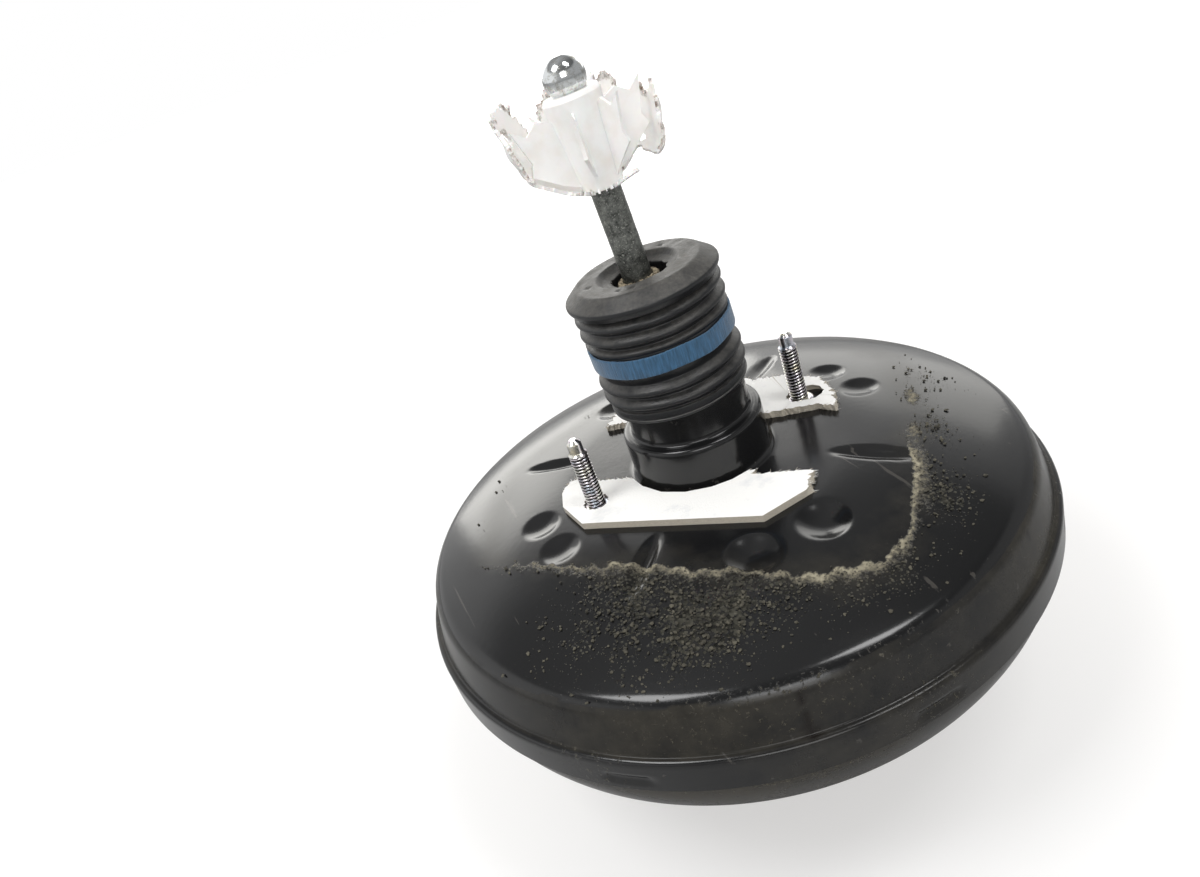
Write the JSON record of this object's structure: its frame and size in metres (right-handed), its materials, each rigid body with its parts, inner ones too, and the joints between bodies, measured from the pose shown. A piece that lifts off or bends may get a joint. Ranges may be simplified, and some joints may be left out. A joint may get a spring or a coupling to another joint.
{
  "type": "vacuum brake booster",
  "caption": "Round vacuum brake booster: pressed shell on bulkhead studs, bellows boot round a leaning pedal rod with a ball end, vacuum valve and cylinder studs in front.",
  "frame": {"origin": "on the booster's axis, in the flat rear face that sits against the bulkhead", "axes": "+Z along the booster's axis towards the brake pedal, X through the two bulkhead studs"},
  "size_m": [0.2784, 0.2784, 0.3022],
  "materials": {
    "black_paint": "gloss black paint over pressed steel",
    "zinc_studs": "bright zinc with a yellow passivate",
    "plain_steel": "plain steel",
    "zinc_rod": "dull speckled zinc; the ball is worn bright",
    "boot_rubber": "matte dark grey rubber, dusty",
    "black_rubber": "moulded rubber",
    "band_fabric": "blue woven band",
    "phenolic": "moulded phenolic",
    "clip_plastic": "white plastic, torn and stained",
    "gasket_fibre": "pressed white fibre, torn",
    "filter_foam": "dusty felt and foam",
    "valve_plastic": "black nylon"
  },
  "bodies": {
    "booster_shell": {"rear_shell": "black_paint", "front_shell": "black_paint", "bulkhead_studs": "zinc_studs", "front_reinforcement": "plain_steel", "master_cylinder_studs": "zinc_studs", "neck_seal": "black_rubber", "neck_guide": "phenolic", "neck_retainer": "plain_steel", "diaphragm": "black_rubber", "return_spring": "plain_steel", "boot": "boot_rubber", "gasket_front": "gasket_fibre", "gasket_rear": "gasket_fibre", "valve_grommet": "black_rubber", "check_valve_body": "valve_plastic", "check_valve_seat": "valve_plastic", "check_valve_spring": "plain_steel"},
    "valve_piston": {"valve_body": "phenolic", "diaphragm_plate": "plain_steel", "reaction_disc": "black_rubber", "output_rod": "plain_steel", "output_rod_retainer": "plain_steel", "stop_key": "plain_steel", "poppet": "black_rubber", "poppet_spring": "plain_steel", "poppet_retainer": "plain_steel", "rod_return_spring": "plain_steel", "air_filter": "filter_foam", "filter_retainer": "phenolic"},
    "plunger": {"control_plunger": "plain_steel"},
    "pedal_rod": {"input_rod": "zinc_rod", "rod_spring_washer": "plain_steel"},
    "clip": {"ball_clip": "clip_plastic"},
    "check_disc": {"check_valve_disc": "black_rubber"},
    "band": {"boot_band": "band_fabric"}
  },
  "joints": [
    {"name": "piston_stroke", "type": "slide", "parent": "booster_shell", "child": "valve_piston", "axis": [0, 0, -1], "range_m": [0, 0.028], "stiffness_N_per_m": 1500, "springref_m": -0.05, "deforming": ["boot", "diaphragm", "return_spring"]},
    {"name": "valve_stroke", "type": "slide", "parent": "valve_piston", "child": "plunger", "axis": [0, 0, -1], "range_m": [0, 0.0022], "stiffness_N_per_m": 1000, "springref_m": -0.015, "deforming": ["rod_return_spring"]},
    {"name": "rod_tilt", "type": "hinge", "parent": "plunger", "child": "pedal_rod", "pos_m": [0, 0, 0.0075], "axis": [-0.3363, -0.9417, 0], "range_deg": [-3.9, 1.3], "deforming": ["air_filter", "rod_return_spring"]},
    {"name": "clip_swivel", "type": "hinge", "parent": "pedal_rod", "child": "clip", "pos_m": [0, 0, 0.0075], "axis": [-0.0446, 0.0159, 0.9989], "continuous": true},
    {"name": "check_valve_lift", "type": "slide", "parent": "booster_shell", "child": "check_disc", "axis": [0, 0, -1], "range_m": [0, 0.0012], "stiffness_N_per_m": 100, "springref_m": -0.002, "deforming": ["check_valve_spring"]},
    {"name": "band_shift", "type": "slide", "parent": "booster_shell", "child": "band", "axis": [0, 0, -1], "range_m": [0, 0.014]}
  ],
  "couplings": [
    {"joint": "band_shift", "follows": "piston_stroke", "ratio": 0.5}
  ]
}
